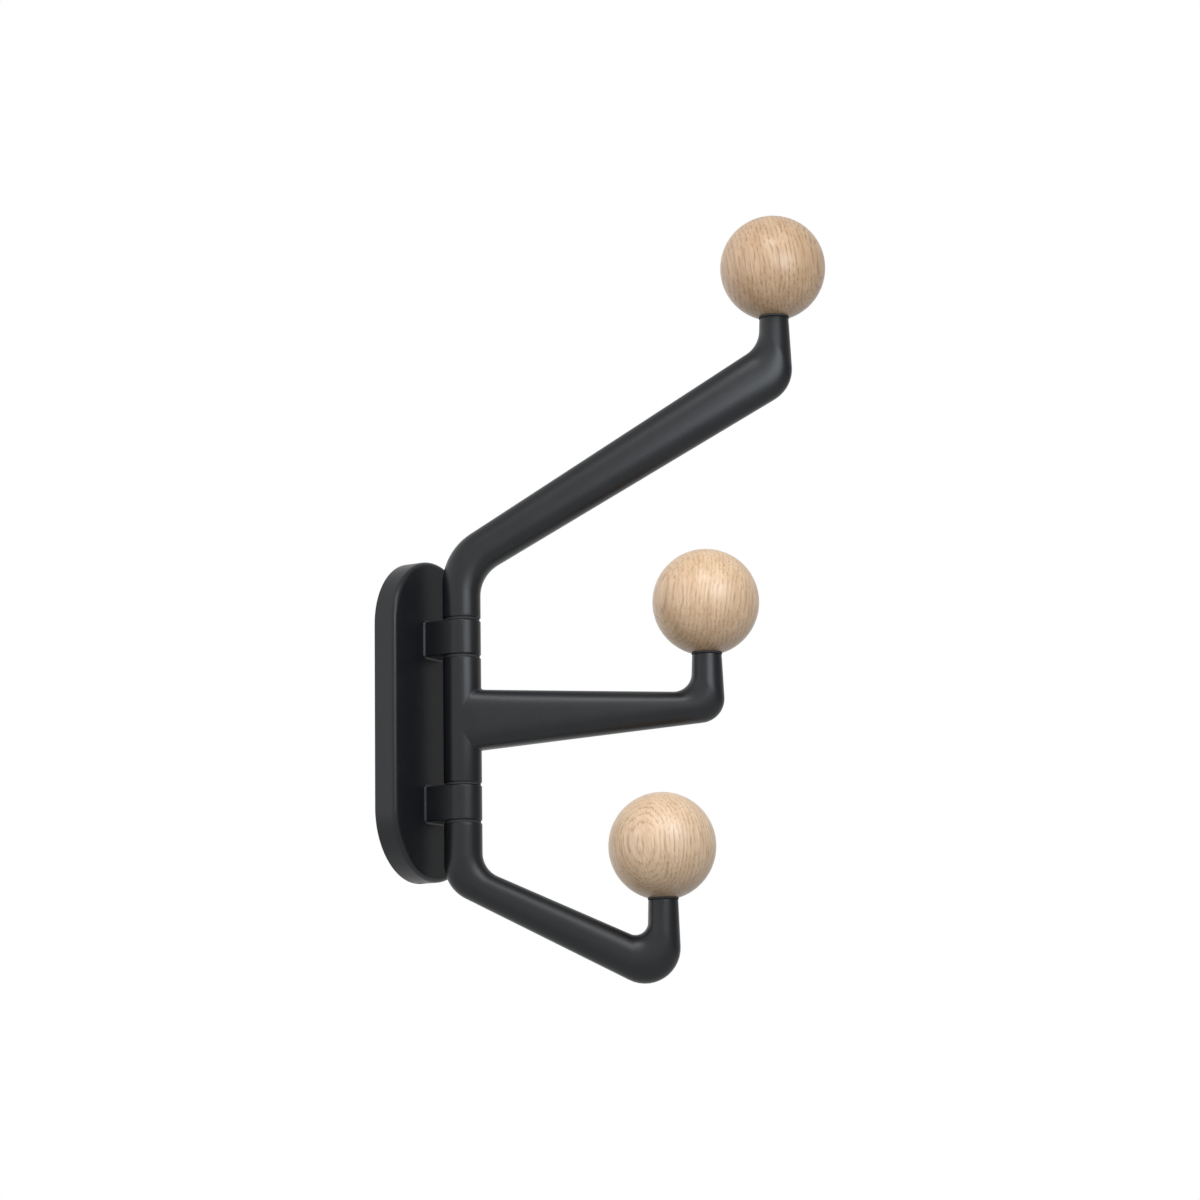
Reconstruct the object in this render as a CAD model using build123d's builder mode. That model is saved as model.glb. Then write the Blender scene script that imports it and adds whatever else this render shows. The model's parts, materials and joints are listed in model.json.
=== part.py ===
from build123d import *
from dataclasses import dataclass
from math import cos, radians, sin
import os

# Swivelling triple wall hook, in millimetres.
# The wall is the plane y = 0 and the room is on the -Y side. Z points up, and the
# origin is the middle of the wall plate's back.

# Wall plate
plate_width = 46.0
plate_height = 106.0
plate_depth = 8.0
plate_front_round = 1.5
plate_skin = 2.4
plate_rim = 5.0
cleat_lip = 1.2

# Lugs that carry the pivot, and how far in front of the plate's face it stands
barrel_diameter = 12.5
pivot_stand_off = 10.7
lug_height = 11.5
lug_from_end = 25.85
lug_drop = 0.75
lug_edge_round = 0.5
lug_root_fillet = 0.8

# Pivot pin, and the grooves that the end arms' set screws run in
pin_diameter = 6.0
pin_reach = 9.6
pin_chamfer = 0.5
groove_depth = 0.8
groove_width = 3.0
groove_from_end = 3.6

# Flanged bushes
bush_flange_thickness = 0.7
bush_flange_inset = 0.4
bush_sleeve_diameter = 8.0
bush_sleeve_length = 4.0
running_clearance = 0.05
side_play = 0.1

# Barrels of the arms
barrel_edge_round = 0.4
bar_root_inset = 0.1
barrel_bore_clearance = 0.3
bore_end_gap = 0.8
end_barrel_length = 6.5

# Set screws
set_screw_diameter = 3.0
set_screw_recess = 0.3
set_screw_socket = 1.5
set_screw_socket_depth = 1.4
dog_diameter = 1.8
dog_gap = 0.3

# Necks, ball seats and balls
neck_top_diameter = 9.7
neck_base_diameter = 11.2
seat_washer_diameter = 10.0
seat_washer_thickness = 0.6
ball_diameter = 35.0
ball_flat_diameter = 10.2
stud_diameter = 5.0
stud_in_neck = 12.0
stud_in_ball = 16.0
stud_end_gap = 1.0
stud_chamfer = 0.6

# Wall bracket behind the plate
bracket_thickness = 3.0
bracket_side_gap = 1.6
bracket_hole_diameter = 4.8
bracket_hole_pitch = 60.0
cleat_clearance = 0.1
lock_screw_diameter = 3.0
lock_screw_recess = 0.8

# Upper arm. The rises are heights above the end face of its barrel: of the bar's centre
# line at the pivot and under the ball, and of the ball's centre. The reach is the ball's
# distance from the pivot, and the depths are those of the oval bar at its two ends.
upper_reach = 104.9
upper_ball_rise = 116.35
upper_root_rise = 18.45
upper_tip_rise = 82.25
upper_root_depth = 13.2
upper_tip_depth = 18.1
upper_elbow_inside = 10.0
upper_elbow_outside = 12.0
upper_bend_inside = 12.0
upper_bend_outside = 20.0

# Middle arm, its rises taken from the middle of its barrel
middle_reach = 80.3
middle_ball_rise = 37.55
middle_root_drop = 0.15
middle_tip_rise = 2.85
middle_root_depth = 20.6
middle_tip_depth = 9.8
middle_elbow_inside = 6.0
middle_elbow_outside = 8.0

# Lower arm, hanging from the end face of its barrel
lower_reach = 64.6
lower_ball_drop = 8.55
lower_root_drop = 18.15
lower_tip_drop = 49.45
lower_root_depth = 10.6
lower_tip_depth = 14.2
lower_elbow_inside = 4.0
lower_elbow_outside = 11.5
lower_bend_inside = 8.5
lower_bend_outside = 12.5

# How far the arms are swung from square to the wall, towards +X, as they rest
swing = 29.0

# Steps that each bend of a bar is drawn in
bend_steps = 5


# Places that follow from the sizes
barrel_radius = barrel_diameter / 2
pivot_y = -(plate_depth + pivot_stand_off)
gap = bush_flange_thickness + side_play
lug_pitch = plate_height - 2 * lug_from_end
upper_lug_z = lug_pitch / 2 - lug_drop
lower_lug_z = -lug_pitch / 2 - lug_drop
upper_barrel_z = upper_lug_z + lug_height / 2 + gap
middle_barrel_top_z = upper_lug_z - lug_height / 2 - gap
middle_barrel_bottom_z = lower_lug_z + lug_height / 2 + gap
middle_barrel_z = (middle_barrel_top_z + middle_barrel_bottom_z) / 2
lower_barrel_z = lower_lug_z - lug_height / 2 - gap
pin_top_z = upper_barrel_z + pin_reach
pin_bottom_z = lower_barrel_z - pin_reach
ball_radius = ball_diameter / 2
ball_flat_drop = (ball_radius**2 - (ball_flat_diameter / 2) ** 2) ** 0.5


@dataclass(frozen=True)
class Arm:
    """One arm in its own upright plane: s runs out from the pivot, z runs up."""

    name: str
    reach: float  # from the pivot to the ball's centre
    ball_height: float  # z of the ball's centre
    root_z: float  # z of the bar's centre line at the pivot
    tip_z: float  # z of the bar's centre line under the ball
    root_depth: float  # depth of the oval bar at the pivot
    tip_depth: float  # depth of the oval bar under the ball
    elbow_inside: float  # radius of the bend into the neck, on the ball's side
    elbow_outside: float
    bend_inside: float = 0.0  # radius of the bend out of the barrel
    bend_outside: float = 0.0


upper = Arm(
    "upper",
    upper_reach,
    upper_barrel_z + upper_ball_rise,
    upper_barrel_z + upper_root_rise,
    upper_barrel_z + upper_tip_rise,
    upper_root_depth,
    upper_tip_depth,
    upper_elbow_inside,
    upper_elbow_outside,
    upper_bend_inside,
    upper_bend_outside,
)
middle = Arm(
    "middle",
    middle_reach,
    middle_barrel_z + middle_ball_rise,
    middle_barrel_z - middle_root_drop,
    middle_barrel_z + middle_tip_rise,
    middle_root_depth,
    middle_tip_depth,
    middle_elbow_inside,
    middle_elbow_outside,
)
lower = Arm(
    "lower",
    lower_reach,
    lower_barrel_z - lower_ball_drop,
    lower_barrel_z - lower_root_drop,
    lower_barrel_z - lower_tip_drop,
    lower_root_depth,
    lower_tip_depth,
    lower_elbow_inside,
    lower_elbow_outside,
    lower_bend_inside,
    lower_bend_outside,
)

arm_direction = Vector(sin(radians(swing)), -cos(radians(swing)), 0)
arm_side = arm_direction.cross(Vector(0, 0, 1))
arm_plane = Plane(origin=(0, pivot_y, 0), x_dir=arm_direction, z_dir=arm_side)


def pivot_plane(z):
    """Level plane on the pivot's axis, at height z."""
    return Plane(origin=(0, pivot_y, z))


def ball_plane(arm, z):
    """Level plane on the axis of an arm's neck and ball, at height z."""
    return Plane(origin=arm_plane.from_local_coords(Vector(arm.reach, z, 0)))


def neck_top(arm):
    """Height at which the seat washer lies on the neck."""
    return arm.ball_height - ball_flat_drop - seat_washer_thickness


def crossing(p, p_direction, q, q_direction):
    """Point where two lines in the arm's plane cross."""
    run = (q - p).cross(q_direction).Z / p_direction.cross(q_direction).Z
    return p + p_direction * run


def bar_edge(arm, side, barrel_end_z=None):
    """Top (side 1) or bottom (side -1) edge of an arm in side view, from barrel to neck.

    It is drawn in the XY plane, with s along X and z along Y.
    """
    root = Vector(0, arm.root_z, 0)
    tip = Vector(arm.reach, arm.tip_z, 0)
    square = (tip - root).normalized().rotate(Axis.Z, 90) * side
    bar_start = root + square * (arm.root_depth / 2)
    bar_run = tip + square * (arm.tip_depth / 2) - bar_start
    neck_end = Vector(arm.reach - side * neck_top_diameter / 2, neck_top(arm), 0)
    neck_base = Vector(arm.reach - side * neck_base_diameter / 2, arm.tip_z, 0)
    elbow = crossing(bar_start, bar_run, neck_end, neck_base - neck_end)
    radii = [arm.elbow_inside if side > 0 else arm.elbow_outside]
    corners = [bar_start, elbow, neck_end]
    if barrel_end_z is not None:
        turn = 1 if arm.root_z > barrel_end_z else -1
        barrel_side = Vector(-side * turn * barrel_radius, barrel_end_z, 0)
        bend = crossing(bar_start, bar_run, barrel_side, Vector(0, 1, 0))
        radii.insert(0, arm.bend_outside if side == turn else arm.bend_inside)
        corners = [barrel_side, bend, elbow, neck_end]
    with BuildLine() as edge:
        FilletPolyline(*corners, radius=radii)
    return edge.wire()


def stations(edge):
    """Points along each run and bend of an edge: the ends of a run, and steps round a bend."""
    start = 0
    found = []
    for run in edge.edges().sort_by(edge):
        steps = bend_steps if run.geom_type == GeomType.CIRCLE else 1
        along = [start + run.length * step / steps for step in range(steps + 1)]
        found.append([edge.position_at(length / edge.length) for length in along])
        start += run.length
    return found


def half_oval(plane, depth, width, start_angle):
    """Half of an oval whose depth lies along the plane's x direction."""
    return Edge.make_ellipse(
        depth / 2, width / 2, plane, start_angle=start_angle, end_angle=start_angle + 180
    )


def oval_bar(arm, widths, barrel_end_z=None):
    """Solid oval bar and neck, whose sections span from its top edge to its bottom edge.

    Each run or bend has a skin on either side of the arm's plane. The widths are those
    across the bar where one run or bend ends and the next begins.
    """
    tops = stations(bar_edge(arm, 1, barrel_end_z))
    bottoms = stations(bar_edge(arm, -1, barrel_end_z))
    faces = []
    ends = []
    for tops_of_run, bottoms_of_run, width, end_width in zip(tops, bottoms, widths, widths[1:]):
        sections = []
        widening = (end_width - width) / (len(tops_of_run) - 1)
        for top_in_plane, bottom_in_plane in zip(tops_of_run, bottoms_of_run):
            top = arm_plane.from_local_coords(top_in_plane)
            bottom = arm_plane.from_local_coords(bottom_in_plane)
            depth = (top - bottom).length
            across = (top - bottom).normalized()
            plane = Plane((top + bottom) / 2, x_dir=across, z_dir=across.cross(arm_side))
            sections.append((plane, depth, min(width, depth)))
            width += widening
        for start_angle in (0, 180):
            halves = [Wire([half_oval(*section, start_angle)]) for section in sections]
            faces += Shell.make_loft(halves).faces()
        ends += [sections[0], sections[-1]]
    for section in (ends[0], ends[-1]):
        faces.append(Face(Wire([half_oval(*section, 0), half_oval(*section, 180)])))
    return Solid(Shell(faces))


os.makedirs("parts", exist_ok=True)

# Wall plate: a stadium with a rounded front edge, hollow behind, and two lugs
hollow_width = plate_width - 2 * plate_rim
hollow_height = plate_height - 2 * plate_rim
bracket_width = hollow_width - 2 * bracket_side_gap
bracket_height = hollow_height - 2 * bracket_side_gap
bracket_z = bracket_side_gap - cleat_clearance
lock_screw_y = -(cleat_lip + bracket_thickness) / 2
lock_screw_end = bracket_z - bracket_height / 2
pin_radius = pin_diameter / 2

with BuildPart() as wall_plate:
    with BuildSketch(Plane.XZ):
        SlotOverall(plate_height, plate_width, rotation=90)
    extrude(amount=plate_depth)
    fillet(wall_plate.faces().sort_by(Axis.Y)[0].edges(), plate_front_round)
    # The hollow widens behind its mouth, so that its upper lip hooks on the bracket
    with BuildSketch(Plane.XZ):
        SlotOverall(hollow_height - 2 * cleat_lip, hollow_width - 2 * cleat_lip, rotation=90)
    with BuildSketch(Plane.XZ.offset(cleat_lip)):
        SlotOverall(hollow_height, hollow_width, rotation=90)
    loft(mode=Mode.SUBTRACT)
    with BuildSketch(Plane.XZ.offset(cleat_lip)):
        SlotOverall(hollow_height, hollow_width, rotation=90)
    extrude(amount=plate_depth - plate_skin - cleat_lip, mode=Mode.SUBTRACT)
    for lug_z in (upper_lug_z, lower_lug_z):
        bottom_z = lug_z - lug_height / 2
        top_z = lug_z + lug_height / 2
        with BuildSketch(pivot_plane(bottom_z)):
            Circle(barrel_radius)
            Rectangle(barrel_diameter, pivot_stand_off, align=(Align.CENTER, Align.MIN))
        extrude(amount=lug_height)
        rims = (
            wall_plate.edges()
            .filter_by(Plane.XY)
            .filter_by_position(Axis.Z, bottom_z, top_z)
            .filter_by_position(Axis.Y, pivot_y - barrel_radius, -plate_depth, inclusive=(True, False))
        )
        fillet(rims, lug_edge_round)
        roots = (
            wall_plate.edges()
            .filter_by_position(Axis.Y, -plate_depth, -plate_depth)
            .filter_by_position(Axis.X, -barrel_radius, barrel_radius)
            .filter_by_position(Axis.Z, bottom_z, top_z)
        )
        fillet(roots, lug_root_fillet)
    with BuildSketch(pivot_plane(lower_lug_z - lug_height / 2)):
        Circle(pin_radius)
    extrude(amount=lug_pitch + lug_height, mode=Mode.SUBTRACT)
    with BuildSketch(Plane((0, lock_screw_y, -plate_height / 2))):
        Circle(lock_screw_diameter / 2)
    extrude(amount=lock_screw_end + plate_height / 2, mode=Mode.SUBTRACT)
wall_plate.part.label = "wall_plate"
export_step(wall_plate.part, "parts/wall_plate.step")

# Wall bracket: a plate screwed to the wall, bevelled all round its wall side
with BuildPart() as wall_bracket:
    with BuildSketch(Plane((0, 0, bracket_z), x_dir=(1, 0, 0), z_dir=(0, -1, 0))):
        SlotOverall(bracket_height, bracket_width, rotation=90)
        with GridLocations(0, bracket_hole_pitch, 1, 2):
            Circle(bracket_hole_diameter / 2, mode=Mode.SUBTRACT)
    extrude(amount=bracket_thickness)
    wall_side = wall_bracket.faces().sort_by(Axis.Y)[-1]
    chamfer(wall_side.outer_wire().edges(), cleat_lip)
wall_bracket.part.label = "wall_bracket"
export_step(wall_bracket.part, "parts/wall_bracket.step")

# Lock screw: a grub screw in the plate's bottom rim, tight against the bracket
lock_screw_start = lock_screw_recess - plate_height / 2

with BuildPart() as plate_lock_screw:
    with BuildSketch(Plane((0, lock_screw_y, lock_screw_start))):
        Circle(lock_screw_diameter / 2)
    extrude(amount=lock_screw_end - lock_screw_start)
    with BuildSketch(Plane((0, lock_screw_y, lock_screw_start))):
        RegularPolygon(set_screw_socket / 2, 6, major_radius=False)
    extrude(amount=set_screw_socket_depth, mode=Mode.SUBTRACT)
plate_lock_screw.part.label = "plate_lock_screw"
export_step(plate_lock_screw.part, "parts/plate_lock_screw.step")

# Pivot pin: pressed into the lugs, with a groove near each end
groove_radius = pin_radius - groove_depth
upper_groove_z = pin_top_z - groove_from_end
lower_groove_z = pin_bottom_z + groove_from_end

with BuildPart() as pivot_pin:
    with BuildSketch(pivot_plane(pin_bottom_z)):
        Circle(pin_radius)
    extrude(amount=pin_top_z - pin_bottom_z)
    chamfer(pivot_pin.faces().filter_by(Plane.XY).edges(), pin_chamfer)
    for groove_z in (upper_groove_z, lower_groove_z):
        with BuildSketch(pivot_plane(groove_z - groove_width / 2)):
            Circle(pin_radius)
            Circle(groove_radius, mode=Mode.SUBTRACT)
        extrude(amount=groove_width, mode=Mode.SUBTRACT)
pivot_pin.part.label = "pivot_pin"
export_step(pivot_pin.part, "parts/pivot_pin.step")

# Upper and lower arms: oval bars that bend out of a round barrel, open at one end
bore_radius = pin_radius + barrel_bore_clearance
set_screw_outer = barrel_radius - set_screw_recess
dog_end = groove_radius + dog_gap

for arm, face_z, turn in ((upper, upper_barrel_z, 1), (lower, lower_barrel_z, -1)):
    barrel_end_z = face_z + turn * end_barrel_length
    groove_z = upper_groove_z if turn > 0 else lower_groove_z
    bar_width = min(barrel_diameter, arm.root_depth)
    widths = (barrel_diameter, barrel_diameter, bar_width, neck_base_diameter)
    widths += (neck_base_diameter, neck_top_diameter)
    with BuildPart() as end_arm:
        with BuildSketch(pivot_plane(face_z)):
            Circle(barrel_radius)
        extrude(amount=turn * end_barrel_length)
        fillet(end_arm.edges().filter_by_position(Axis.Z, face_z, face_z), barrel_edge_round)
        add(oval_bar(arm, widths, barrel_end_z))
        with BuildSketch(pivot_plane(face_z)):
            Circle(bush_sleeve_diameter / 2)
        extrude(amount=turn * bush_sleeve_length, mode=Mode.SUBTRACT)
        with BuildSketch(pivot_plane(face_z)):
            Circle(bore_radius)
        extrude(amount=turn * (pin_reach + bore_end_gap), mode=Mode.SUBTRACT)
        back_plane = Plane((0, pivot_y, groove_z), x_dir=arm_side, z_dir=-arm_direction)
        with BuildSketch(back_plane):
            Circle(set_screw_diameter / 2)
        extrude(amount=barrel_radius + 1, mode=Mode.SUBTRACT)
        with BuildSketch(ball_plane(arm, neck_top(arm))):
            Circle(stud_diameter / 2)
        extrude(amount=-stud_in_neck - stud_end_gap, mode=Mode.SUBTRACT)
    end_arm.part.label = f"{arm.name}_arm"
    export_step(end_arm.part, f"parts/{arm.name}_arm.step")

    # Set screw in the back of the barrel, its dog point running in the pin's groove
    with BuildPart() as set_screw:
        with BuildSketch(back_plane.offset(bore_radius)):
            Circle(set_screw_diameter / 2)
        extrude(amount=set_screw_outer - bore_radius)
        with BuildSketch(back_plane.offset(dog_end)):
            Circle(dog_diameter / 2)
        extrude(amount=bore_radius - dog_end)
        with BuildSketch(back_plane.offset(set_screw_outer)):
            RegularPolygon(set_screw_socket / 2, 6, major_radius=False)
        extrude(amount=-set_screw_socket_depth, mode=Mode.SUBTRACT)
    set_screw.part.label = f"{arm.name}_arm_set_screw"
    export_step(set_screw.part, f"parts/{arm.name}_arm_set_screw.step")

# Middle arm: a straight oval bar that grows out of the side of a through barrel
with BuildPart() as middle_arm:
    widths = (barrel_diameter - 2 * bar_root_inset, neck_base_diameter)
    widths += (neck_base_diameter, neck_top_diameter)
    with BuildSketch(pivot_plane(middle_barrel_bottom_z)):
        Circle(barrel_radius)
    extrude(amount=middle_barrel_top_z - middle_barrel_bottom_z)
    fillet(middle_arm.faces().filter_by(Plane.XY).edges(), barrel_edge_round)
    add(oval_bar(middle, widths))
    for face_z, inward in ((middle_barrel_top_z, -1), (middle_barrel_bottom_z, 1)):
        with BuildSketch(pivot_plane(face_z)):
            Circle(bush_sleeve_diameter / 2)
        extrude(amount=inward * bush_sleeve_length, mode=Mode.SUBTRACT)
    with BuildSketch(pivot_plane(middle_barrel_bottom_z)):
        Circle(bore_radius)
    extrude(amount=middle_barrel_top_z - middle_barrel_bottom_z, mode=Mode.SUBTRACT)
    with BuildSketch(ball_plane(middle, neck_top(middle))):
        Circle(stud_diameter / 2)
    extrude(amount=-stud_in_neck - stud_end_gap, mode=Mode.SUBTRACT)
middle_arm.part.label = "middle_arm"
export_step(middle_arm.part, "parts/middle_arm.step")

# Flanged bushes, pressed into the barrels; their flanges run on the lugs
for name, face_z, inward in (
    ("upper_arm_bush", upper_barrel_z, 1),
    ("middle_arm_top_bush", middle_barrel_top_z, -1),
    ("middle_arm_bottom_bush", middle_barrel_bottom_z, 1),
    ("lower_arm_bush", lower_barrel_z, -1),
):
    with BuildPart() as bush:
        with BuildSketch(pivot_plane(face_z - inward * bush_flange_thickness)):
            Circle(barrel_radius - bush_flange_inset)
        extrude(amount=inward * bush_flange_thickness)
        with BuildSketch(pivot_plane(face_z)):
            Circle(bush_sleeve_diameter / 2)
        extrude(amount=inward * bush_sleeve_length)
        with BuildSketch(pivot_plane(face_z - inward * bush_flange_thickness)):
            Circle(pin_radius + running_clearance)
        extrude(amount=inward * (bush_flange_thickness + bush_sleeve_length), mode=Mode.SUBTRACT)
    bush.part.label = name
    export_step(bush.part, f"parts/{name}.step")

# Ball, seat washer and stud on the neck of each arm
for arm in (upper, middle, lower):
    seat_z = neck_top(arm)
    flat_z = arm.ball_height - ball_flat_drop

    with BuildPart() as seat_washer:
        with BuildSketch(ball_plane(arm, seat_z)):
            Circle(seat_washer_diameter / 2)
            Circle(stud_diameter / 2, mode=Mode.SUBTRACT)
        extrude(amount=seat_washer_thickness)
    seat_washer.part.label = f"{arm.name}_seat_washer"
    export_step(seat_washer.part, f"parts/{arm.name}_seat_washer.step")

    with BuildPart() as ball_stud:
        with BuildSketch(ball_plane(arm, seat_z - stud_in_neck)):
            Circle(stud_diameter / 2)
        extrude(amount=stud_in_neck + seat_washer_thickness + stud_in_ball)
        chamfer(ball_stud.faces().filter_by(Plane.XY).edges(), stud_chamfer)
    ball_stud.part.label = f"{arm.name}_ball_stud"
    export_step(ball_stud.part, f"parts/{arm.name}_ball_stud.step")

    with BuildPart() as ball:
        with Locations(ball_plane(arm, arm.ball_height)):
            Sphere(ball_radius)
        split(bisect_by=Plane.XY.offset(flat_z), keep=Keep.TOP)
        with BuildSketch(ball_plane(arm, flat_z)):
            Circle(stud_diameter / 2)
        extrude(amount=stud_in_ball + stud_end_gap, mode=Mode.SUBTRACT)
    ball.part.label = f"{arm.name}_ball"
    export_step(ball.part, f"parts/{arm.name}_ball.step")
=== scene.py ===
"""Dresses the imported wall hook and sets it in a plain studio, seen as in the photograph."""

import json
import logging
import math
from dataclasses import dataclass
from enum import Enum
from typing import Any, Mapping, Optional, Sequence

import bmesh
import bpy
from mathutils import Matrix, Vector


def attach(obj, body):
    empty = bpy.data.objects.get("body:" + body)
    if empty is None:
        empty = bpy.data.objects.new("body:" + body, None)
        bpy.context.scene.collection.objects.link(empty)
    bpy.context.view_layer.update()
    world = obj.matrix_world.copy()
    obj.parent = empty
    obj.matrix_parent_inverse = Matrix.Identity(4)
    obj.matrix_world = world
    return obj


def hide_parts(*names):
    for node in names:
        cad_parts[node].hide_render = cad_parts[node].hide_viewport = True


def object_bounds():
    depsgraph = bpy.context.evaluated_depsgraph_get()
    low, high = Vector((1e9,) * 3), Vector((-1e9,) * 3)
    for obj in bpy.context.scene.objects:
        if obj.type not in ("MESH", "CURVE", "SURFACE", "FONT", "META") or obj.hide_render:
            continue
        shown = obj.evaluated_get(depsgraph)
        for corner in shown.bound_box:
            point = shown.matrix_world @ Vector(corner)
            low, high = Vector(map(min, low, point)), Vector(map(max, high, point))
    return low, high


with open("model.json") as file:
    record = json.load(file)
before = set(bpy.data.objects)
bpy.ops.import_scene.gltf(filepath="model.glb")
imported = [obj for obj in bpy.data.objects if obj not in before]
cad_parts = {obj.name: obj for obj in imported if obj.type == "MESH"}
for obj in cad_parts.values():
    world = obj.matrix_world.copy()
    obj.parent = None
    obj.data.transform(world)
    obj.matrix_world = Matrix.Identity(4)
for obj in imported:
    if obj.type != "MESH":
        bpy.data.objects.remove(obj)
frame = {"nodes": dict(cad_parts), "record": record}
CAD_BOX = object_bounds()

log = logging.getLogger("wall_hook")

MM = 0.001
ELLIPSE = 2.0
NOISE_MEAN = 0.5
RIM_STEPS = 4

Colour = tuple[float, float, float, float]
Triple = tuple[float, float, float]
Point = tuple[float, float]
Ring = list[Vector]


# Shader nodes


@dataclass(frozen=True)
class Grain:
    """A noise pattern: cycles to the unit, finer layers, and a stretch along each axis."""

    scale: float
    detail: float = 3.0
    roughness: float = 0.5
    stretch: Optional[Triple] = None


class Signal:
    """A node's output socket, on which Python's operators add Math nodes."""

    def __init__(self, bench: "Bench", socket: bpy.types.NodeSocket) -> None:
        """Wraps a socket.

        Args:
            bench: the bench whose node tree holds the socket.
            socket: the output socket.
        """
        self.bench = bench
        self.socket = socket

    def _math(self, operation: str, *values: Any) -> "Signal":
        """Adds a Math node on the given values and returns its result."""
        settings = {"operation": operation}
        return self.bench.node("ShaderNodeMath", settings, dict(enumerate(values)))

    def __add__(self, other: Any) -> "Signal":
        """Sum."""
        return self._math("ADD", self, other)

    __radd__ = __add__

    def __sub__(self, other: Any) -> "Signal":
        """Difference."""
        return self._math("SUBTRACT", self, other)

    def __rsub__(self, other: Any) -> "Signal":
        """Difference, this signal taken from the other."""
        return self._math("SUBTRACT", other, self)

    def __mul__(self, other: Any) -> "Signal":
        """Product."""
        return self._math("MULTIPLY", self, other)

    __rmul__ = __mul__

    def __truediv__(self, other: Any) -> "Signal":
        """Quotient."""
        return self._math("DIVIDE", self, other)

    def __rtruediv__(self, other: Any) -> "Signal":
        """Quotient, the other divided by this signal."""
        return self._math("DIVIDE", other, self)

    def __pow__(self, other: Any) -> "Signal":
        """Power."""
        return self._math("POWER", self, other)

    def __rpow__(self, other: Any) -> "Signal":
        """Power, the other raised to this signal."""
        return self._math("POWER", other, self)

    def fraction(self) -> "Signal":
        """What is left above the whole number below."""
        return self._math("FRACT", self)

    def at_least(self, low: float) -> "Signal":
        """The signal, held at a lowest value."""
        return self._math("MAXIMUM", self, low)

    def along(self, axis: Sequence[float]) -> "Signal":
        """How far a vector signal reaches along an axis."""
        return self.bench.vector("DOT_PRODUCT", self, tuple(axis), output="Value")

    def length(self) -> "Signal":
        """Length of a vector signal."""
        return self.bench.vector("LENGTH", self, output="Value")


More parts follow.
